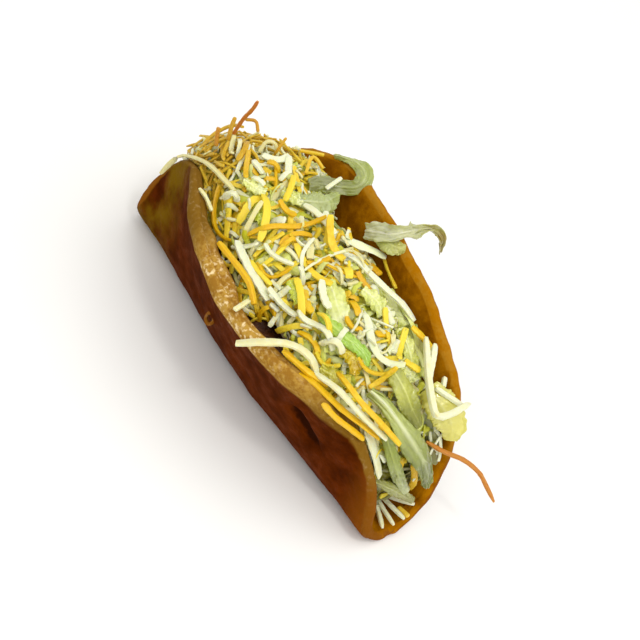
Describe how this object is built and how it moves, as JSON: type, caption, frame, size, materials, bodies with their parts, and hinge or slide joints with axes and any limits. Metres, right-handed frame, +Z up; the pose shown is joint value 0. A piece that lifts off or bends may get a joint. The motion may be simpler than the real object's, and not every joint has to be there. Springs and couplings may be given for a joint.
{
  "type": "taco",
  "caption": "Taco in a thick fried flour tortilla folded once, filled with ground meat, fine shredded lettuce, larger lettuce leaves and shredded orange and white cheese.",
  "frame": {"origin": "middle of the flat strip under the fold, which the taco rests on", "axes": "+X along the fold towards the near end, +Z up, the lower wall towards -Y and the taller wall towards +Y"},
  "size_m": [0.1774, 0.0959, 0.0803],
  "materials": {
    "fried_tortilla": "fried golden brown, mottled, faintly oily",
    "seasoned_meat": "dark brown, moist, crumbly",
    "shredded_lettuce": "pale yellow-green, moist",
    "lettuce_leaf": "thin, wet, veined",
    "grated_cheese": "orange and white shreds, slightly waxy"
  },
  "bodies": {
    "root": {"tortilla_shell": "fried_tortilla", "ground_meat": "seasoned_meat", "shredded_lettuce": "shredded_lettuce", "leaf_far_rim": "lettuce_leaf", "leaf_right_rim": "lettuce_leaf", "leaf_near_corner": "lettuce_leaf", "leaf_near_long": "lettuce_leaf", "leaf_near_low": "lettuce_leaf", "leaf_centre": "lettuce_leaf", "leaf_near_side": "lettuce_leaf", "shredded_cheese": "grated_cheese", "cheese_loop": "grated_cheese", "cheese_over_rim": "grated_cheese", "cheese_in_fold": "grated_cheese"}
  },
  "joints": []
}
